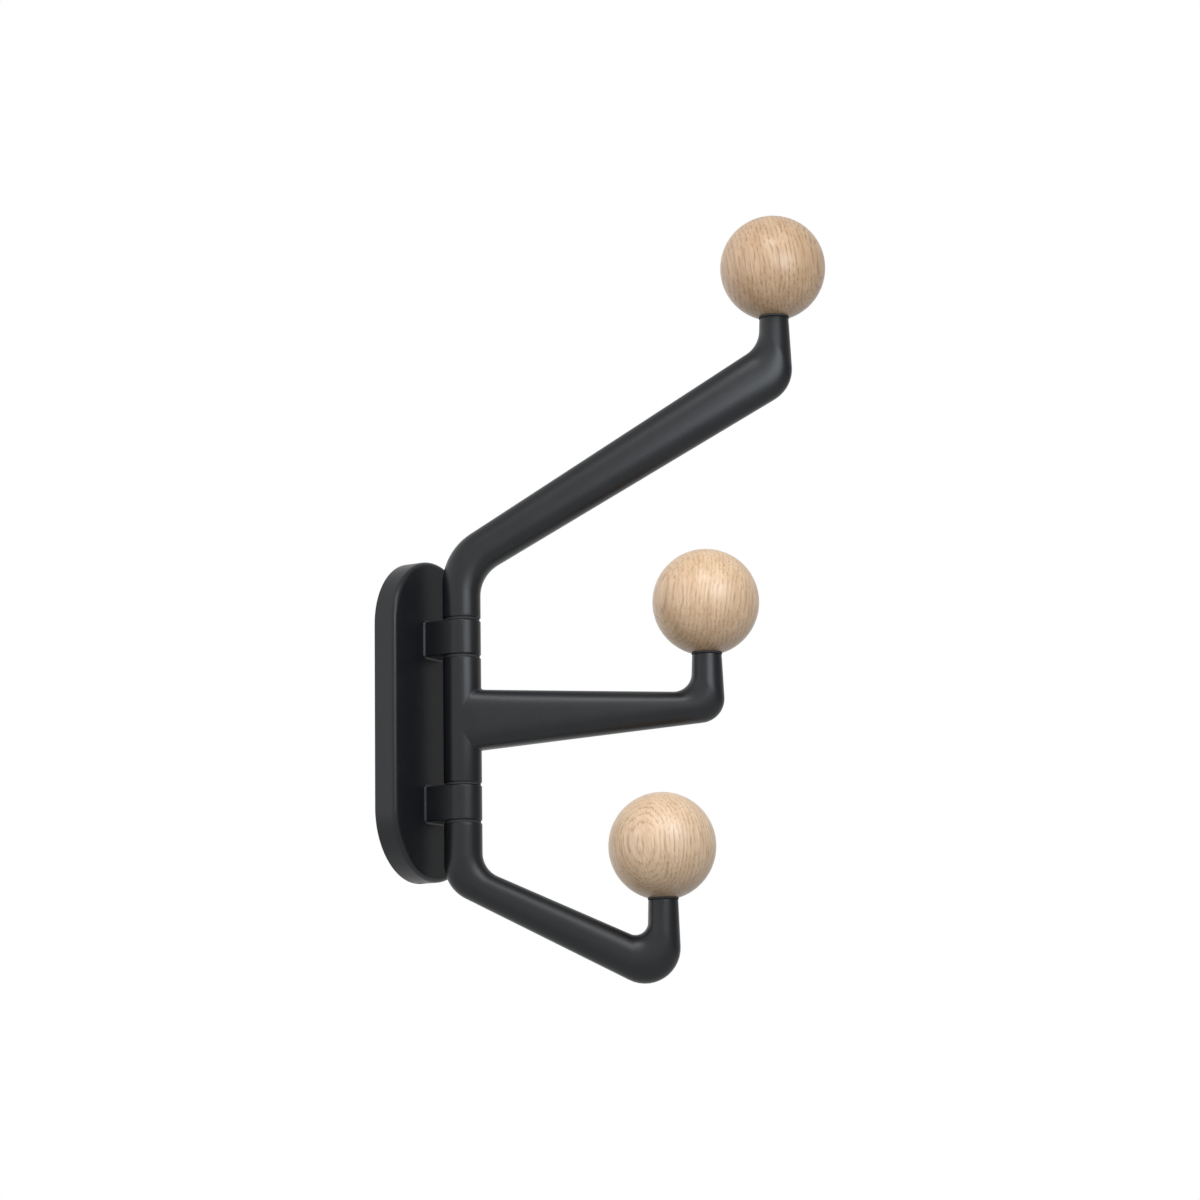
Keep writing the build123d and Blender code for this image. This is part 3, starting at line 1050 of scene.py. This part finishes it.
@dataclass
class MiddleArm(Arm):
    """Middle arm: a straight bar that grows out of the side of a through barrel.

    Its bar is a little wider than the barrel, so its rounded end stands on the barrel's
    side as a fine arched line.
    """

    root_width: float = 12.64
    root_fullness: float = 3.6
    tip_fullness: float = 2.1
    top_fillet: float = 1.3
    bottom_fillet: float = 0.5
    fillet_steps: int = 6
    fillet_power: int = 4
    lip: float = 0.22
    lip_sink: float = 0.03
    joint_passes: int = 12
    cap_shares: tuple[float, ...] = (0.2, 0.6, 1.0)
    cap_narrowing: float = 0.8
    cap_inset: float = 1.0
    barrel_segments: int = 96

    def build(self) -> bpy.types.Object:
        """Builds the arm's mesh.

        Returns:
            The arm.
        """
        loft = Loft()
        loft.shell(self._barrel())
        neck = self.neck_base_width
        widths = (self.root_width, neck, neck, self.neck_top_width)
        fullness = (self.root_fullness, self.tip_fullness, ELLIPSE, ELLIPSE)
        sections = self.sections(widths, fullness)
        rings = self._root(sections[0], sections[self.run_steps])
        rings += [section.ring(self.around) for section in sections[1:-1]]
        rings += self.neck_end()
        loft.shell(rings)
        return loft.piece(f"{self.name}_casting")

    def _barrel(self) -> list[Ring]:
        """Rings of the barrel and of its bore's seats.

        Returns:
            The rings, from the lower seat round the outside to the upper seat.
        """
        low, high = self.barrel
        rim = PIVOT.rim_round
        radius = PIVOT.barrel_radius
        profile = [(PIVOT.bore_radius, low + PIVOT.sleeve_length)]
        profile += [(PIVOT.sleeve_radius, low + PIVOT.sleeve_length), (PIVOT.sleeve_radius, low)]
        profile += arc((radius - rim, low + rim), rim, -90, 0, RIM_STEPS)
        profile += arc((radius - rim, high - rim), rim, 0, 90, RIM_STEPS)
        profile += [(PIVOT.sleeve_radius, high), (PIVOT.sleeve_radius, high - PIVOT.sleeve_length)]
        profile += [(PIVOT.bore_radius, high - PIVOT.sleeve_length)]
        return turned((0.0, PIVOT.y), profile, self.barrel_segments)

    def _root(self, start: Section, end: Section) -> list[Ring]:
        """Rings of the bar's root: a cap inside the barrel, then a fillet or lip on to the bar.

        Args:
            start: the bar's section on the pivot's axis.
            end: the bar's section where the elbow begins.

        Returns:
            The rings, from inside the barrel out to the bar.
        """
        radius = PIVOT.barrel_radius
        inside: list[Ring] = [[] for _ in self.cap_shares]
        rounded: list[Ring] = [[] for _ in range(self.fillet_steps + 1)]
        for i in range(self.around):
            first, last = start.point(i, self.around), end.point(i, self.around)
            along = (last - first).normalized()
            joint = first
            for _ in range(self.joint_passes):
                joint = joint + along * (self._barrel_front(joint.y) - joint.x)
            up = (joint.z - self.root_z) / (self.root_depth / 2)
            steep = up**self.fillet_power
            reach = (self.top_fillet if up > 0 else self.bottom_fillet) * steep
            foot = joint + Vector((0.0, 0.0, math.copysign(reach, up)))
            widest = radius - self.lip * (1 - steep)
            foot.y = max(-widest, min(widest, foot.y))
            foot.x = self._barrel_front(foot.y) - self.lip_sink
            shoulder = joint + along * (self.lip + reach)
            for step in range(self.fillet_steps + 1):
                share = step / self.fillet_steps
                low, high = foot.lerp(joint, share), joint.lerp(shoulder, share)
                rounded[step].append(PIVOT.at(*low.lerp(high, share)))
            for ring, shrink in zip(inside, self.cap_shares):
                t = foot.y * shrink * self.cap_narrowing
                s = math.sqrt(max((radius - self.cap_inset) ** 2 - t**2, 0.0))
                ring.append(PIVOT.at(s, t, self.root_z + (foot.z - self.root_z) * shrink))
        return inside + rounded

    @staticmethod
    def _barrel_front(t: float) -> float:
        """How far out the barrel's surface stands at a distance t to the side of the plane."""
        return math.sqrt(max(PIVOT.barrel_radius**2 - t**2, 0.0))


@dataclass
class Ball:
    """A turned ball on its neck, in millimetres."""

    name: str
    arm: Arm
    finish: TurnedOak
    radius: float = 17.5
    flat_radius: float = 5.1
    flat_round: float = 0.3
    flat_round_degrees: float = 0.6
    hole_radius: float = 2.5
    hole_depth: float = 17.0
    segments: int = 128
    steps: int = 80

    def build(self) -> bpy.types.Object:
        """Builds the ball's mesh, with its flat and stud hole.

        Returns:
            The ball.
        """
        centre = self.finish.centre
        flat = -math.sqrt(self.radius**2 - self.flat_radius**2)
        start = math.degrees(math.asin(flat / self.radius)) + self.flat_round_degrees
        profile = [(0.0, flat + self.hole_depth), (self.hole_radius, flat + self.hole_depth)]
        profile += [(self.hole_radius, flat), (self.flat_radius - self.flat_round, flat)]
        profile += arc((0.0, 0.0), self.radius, start, 90, self.steps)[:-1]
        profile += [(0.0, self.radius)]
        profile = [(radius, z + centre[2]) for radius, z in profile]
        loft = Loft()
        loft.shell(turned(centre[:2], profile, self.segments))
        return loft.piece(self.name)


def ball_centre(reach: float, height: float) -> Triple:
    """Centre of a ball in the part's frame.

    Args:
        reach: its distance from the pivot, in millimetres.
        height: its height, in millimetres.

    Returns:
        The centre, in millimetres.
    """
    return tuple(PIVOT.at(reach, 0.0, height) / MM)


# Studio


def heading(yaw: float, pitch: float) -> Vector:
    """Direction that a camera or lamp looks in.

    Args:
        yaw: its turn from +Y towards +X, in degrees.
        pitch: its tilt upwards, in degrees.

    Returns:
        The direction, of length 1.
    """
    turn, rise = math.radians(yaw), math.radians(pitch)
    level = math.cos(rise)
    return Vector((math.sin(turn) * level, math.cos(turn) * level, math.sin(rise)))


@dataclass(frozen=True)
class PhotoCamera:
    """The camera that the photograph was taken with, as fitted to it."""

    place_mm: Triple = (-873.02, -604.33, -145.41)
    yaw: float = 58.63
    pitch: float = 9.94
    roll: float = -0.86
    focal_pixels: float = 3240.63
    frame_pixels: float = 1200.0
    sensor_mm: float = 36.0
    nearest: float = 0.01
    farthest: float = 50.0

    def build(self) -> None:
        """Makes the camera the scene's own."""
        data = bpy.data.cameras.new("photo_camera")
        data.sensor_width = self.sensor_mm
        data.lens = self.focal_pixels / self.frame_pixels * self.sensor_mm
        data.clip_start, data.clip_end = self.nearest, self.farthest
        camera = placed("photo_camera", data)
        forward = heading(self.yaw, self.pitch)
        yaw, roll = math.radians(self.yaw), math.radians(self.roll)
        level = Vector((math.cos(yaw), -math.sin(yaw), 0.0))
        upright = level.cross(forward)
        right = level * math.cos(roll) + upright * math.sin(roll)
        up = upright * math.cos(roll) - level * math.sin(roll)
        turn = Matrix((right, up, -forward)).transposed()
        camera.matrix_world = Matrix.Translation(Vector(self.place_mm) * MM) @ turn.to_4x4()
        bpy.context.scene.camera = camera


@dataclass(frozen=True)
class Softbox:
    """A rectangular lamp aimed at the hook's middle. Angles are about the camera's view."""

    name: str
    right_degrees: float
    up_degrees: float
    distance: float
    width: float
    height: float
    watts: float
    colour: Triple

    def build(self, view_yaw: float, aim: Vector) -> None:
        """Hangs the lamp.

        Args:
            view_yaw: the camera's yaw, in degrees.
            aim: the point that it is aimed at.
        """
        data = bpy.data.lights.new(self.name, "AREA")
        data.shape = "RECTANGLE"
        data.size, data.size_y = self.width, self.height
        data.energy = self.watts
        data.color = self.colour
        lamp = placed(self.name, data)
        beam = heading(view_yaw - self.right_degrees, -self.up_degrees)
        lamp.location = aim - beam * self.distance
        lamp.rotation_euler = beam.to_track_quat("-Z", "Y").to_euler()


@dataclass(frozen=True)
class Room:
    """A studio's soft walls: how brightly each side of the room stands round the hook.

    The sides are as the camera has them. Each fades with the square of the cosine from its
    own axis, so that it runs into the next.
    """

    left: float = 1.5
    right: float = 0.3
    front: float = 1.1
    back: float = 0.4
    above: float = 0.6
    below: float = 0.0

    def build(self, view_yaw: float) -> None:
        """Makes the world: the room, with white for the camera and behind reflections.

        Args:
            view_yaw: the camera's yaw, in degrees.
        """
        world = bpy.data.worlds.new("soft_room")
        bpy.context.scene.world = world
        world.use_nodes = True
        bench = Bench(world.node_tree)
        where = bench.node("ShaderNodeTexCoord", output="Generated")
        yaw = math.radians(view_yaw)
        right = Vector((math.cos(yaw), -math.sin(yaw), 0.0))
        front = Vector((-math.sin(yaw), -math.cos(yaw), 0.0))
        up = Vector((0.0, 0.0, 1.0))
        sides = (
            (-right, self.left),
            (right, self.right),
            (front, self.front),
            (up, self.above),
            (-up, self.below),
        )
        backdrop = where.along(-front).at_least(0.0) ** 2
        light = backdrop * self.back
        for axis, level in sides:
            light = light + (where.along(axis).at_least(0.0) ** 2) * level
        glossy = bench.node("ShaderNodeLightPath", output="Is Glossy Ray")
        clear = bench.node("ShaderNodeLightPath", output="Is Transmission Ray")
        light = light + backdrop * (glossy + clear) * (1.0 - self.back)
        camera = bench.node("ShaderNodeLightPath", output="Is Camera Ray")
        lit = bench.node("ShaderNodeBackground", inputs={"Color": grey(1.0), "Strength": light})
        seen = bench.node("ShaderNodeBackground", inputs={"Color": grey(1.0), "Strength": 1.0})
        shader = bench.node("ShaderNodeMixShader", inputs={0: camera, 1: lit, 2: seen})
        bench.node("ShaderNodeOutputWorld", inputs={"Surface": shader})


@dataclass(frozen=True)
class Studio:
    """Soft lamps, a pale floor well below the hook, and the room round them."""

    floor_drop: float = 1.1
    floor_size: float = 12.0
    floor_sides: int = 96
    floor_tones: Point = (0.86, 0.9)
    floor_mottle: Grain = Grain(0.01)
    floor_bounce: float = 0.2
    floor_lift: float = 0.18
    floor_roughness: float = 0.9
    aim: Triple = (0.0, -0.0187, 0.02)
    room: Room = Room()
    lamps: tuple[Softbox, ...] = (
        Softbox(
            name="key_softbox",
            right_degrees=1.0,
            up_degrees=48.0,
            distance=1.3,
            width=0.42,
            height=0.36,
            watts=4.0,
            colour=(1.0, 0.99, 0.98),
        ),
        Softbox(
            name="side_softbox",
            right_degrees=33.7,
            up_degrees=18.0,
            distance=0.39,
            width=0.24,
            height=0.16,
            watts=0.64,
            colour=(0.88, 0.94, 1.0),
        ),
    )

    def build(self, view_yaw: float) -> None:
        """Builds the floor, the lamps and the world.

        Args:
            view_yaw: the camera's yaw, in degrees.
        """
        self._floor()
        for lamp in self.lamps:
            lamp.build(view_yaw, Vector(self.aim))
        self.room.build(view_yaw)
        bpy.context.scene.view_settings.view_transform = "Standard"

    def _floor(self) -> None:
        """Lays the floor: pale to the camera and in reflections, and a duller bounce."""
        level = CAD_BOX[0].z - self.floor_drop
        half = self.floor_size / 2
        turns = [math.tau * i / self.floor_sides for i in range(self.floor_sides)]
        rim = [(half * math.cos(turn), half * math.sin(turn), level) for turn in turns]
        mesh = bpy.data.meshes.new("studio_floor")
        mesh.from_pydata(rim, [], [tuple(range(self.floor_sides))])
        floor = placed("studio_floor", mesh)
        made = bpy.data.materials.new("pale_floor")
        made.use_nodes = True
        bench = Bench(made.node_tree)
        mottle = bench.noise(bench.place(), self.floor_mottle)
        seen = bench.node("ShaderNodeLightPath", output="Is Camera Ray")
        glossy = bench.node("ShaderNodeLightPath", output="Is Glossy Ray")
        clear = bench.node("ShaderNodeLightPath", output="Is Transmission Ray")
        shown = seen + glossy + clear
        pale = bench.mix(mottle, *(grey(tone) for tone in self.floor_tones))
        bench.surface(
            {
                "Base Color": bench.mix(shown, grey(self.floor_bounce), pale),
                "Roughness": self.floor_roughness,
                "Emission Color": bench.mix(shown, grey(0.0), grey(1.0)),
                "Emission Strength": self.floor_lift,
            }
        )
        mesh.materials.append(made)


# Assembly


class WallHook:
    """The whole hook: three arms and balls built here, the rest as the CAD has it."""

    def __init__(self) -> None:
        """Sets the sizes of the arms and the grain of the balls."""
        self.arms: tuple[Arm, ...] = (
            EndArm(
                name="upper_arm",
                body="upper",
                reach=104.9,
                ball_height=149.3,
                root_z=51.4,
                tip_z=115.2,
                root_depth=13.2,
                tip_depth=18.1,
                elbow=(10.0, 12.0),
                bend=(12.0, 20.0),
                barrel=(32.95, 39.45),
            ),
            MiddleArm(
                name="middle_arm",
                body="middle",
                reach=80.3,
                ball_height=36.8,
                root_z=-0.9,
                tip_z=2.1,
                root_depth=20.6,
                tip_depth=9.8,
                elbow=(6.0, 8.0),
                barrel=(-21.35, 19.85),
            ),
            EndArm(
                name="lower_arm",
                body="lower",
                reach=64.6,
                ball_height=-43.0,
                root_z=-52.6,
                tip_z=-83.9,
                root_depth=10.6,
                tip_depth=14.2,
                elbow=(4.0, 11.5),
                bend=(8.5, 12.5),
                barrel=(-34.45, -40.95),
            ),
        )
        grains = (
            {
                "pith": (-5.3, 27.5),
                "turn": (5.0, 5.0, 0.0),
                "pale": (0.575, 0.395, 0.247, 1.0),
                "honey": (0.490, 0.320, 0.188, 1.0),
                "pore_share": 0.75,
            },
            {
                "pith": (24.5, -13.6),
                "turn": (-4.0, -3.0, 0.0),
                "pale": (0.725, 0.518, 0.337, 1.0),
                "honey": (0.635, 0.434, 0.268, 1.0),
            },
            {
                "pith": (27.8, 3.0),
                "turn": (3.0, 2.0, 0.0),
                "pale": (0.785, 0.575, 0.390, 1.0),
                "honey": (0.705, 0.500, 0.322, 1.0),
            },
        )
        self.balls = []
        for arm, grain in zip(self.arms, grains):
            centre = ball_centre(arm.reach, arm.ball_height)
            oak = TurnedOak(title=f"{arm.body}_ball_oak", centre=centre, **grain)
            self.balls.append(Ball(name=f"{arm.body}_oak_ball", arm=arm, finish=oak))

    def build(self) -> None:
        """Builds and dresses every piece."""
        for arm in self.arms:
            piece = arm.build()
            dress(piece, POWDER_COAT)
            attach(piece, arm.body)
            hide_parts(arm.name)
            log.info("%s: %d faces", piece.name, len(piece.data.polygons))
        for ball in self.balls:
            piece = ball.build()
            dress(piece, ball.finish)
            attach(piece, ball.arm.body)
            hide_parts(f"{ball.arm.body}_ball")
            log.info("%s: %d faces", piece.name, len(piece.data.polygons))
        self._dress_nodes()

    def _dress_nodes(self) -> None:
        """Gives each CAD node that stays its finish, by the record's material slot."""
        finishes: dict[str, Finish] = {
            "black_casting": POWDER_COAT,
            "black_nylon": NYLON,
            "bright_steel": ZINC,
            "blackened_steel": BLACK_OXIDE,
        }
        for part in frame["record"]["subparts"]:
            finish = finishes.get(part["material_slot"])
            if finish:
                dress(frame["nodes"][part["node"]], finish)
                log.info("%s: %s", part["node"], finish.title)


def main() -> None:
    """Builds the scene."""
    logging.basicConfig(level=logging.INFO, format="%(name)s: %(message)s")
    camera = PhotoCamera()
    camera.build()
    Studio().build(camera.yaw)
    WallHook().build()


if __name__ == "__main__":
    main()
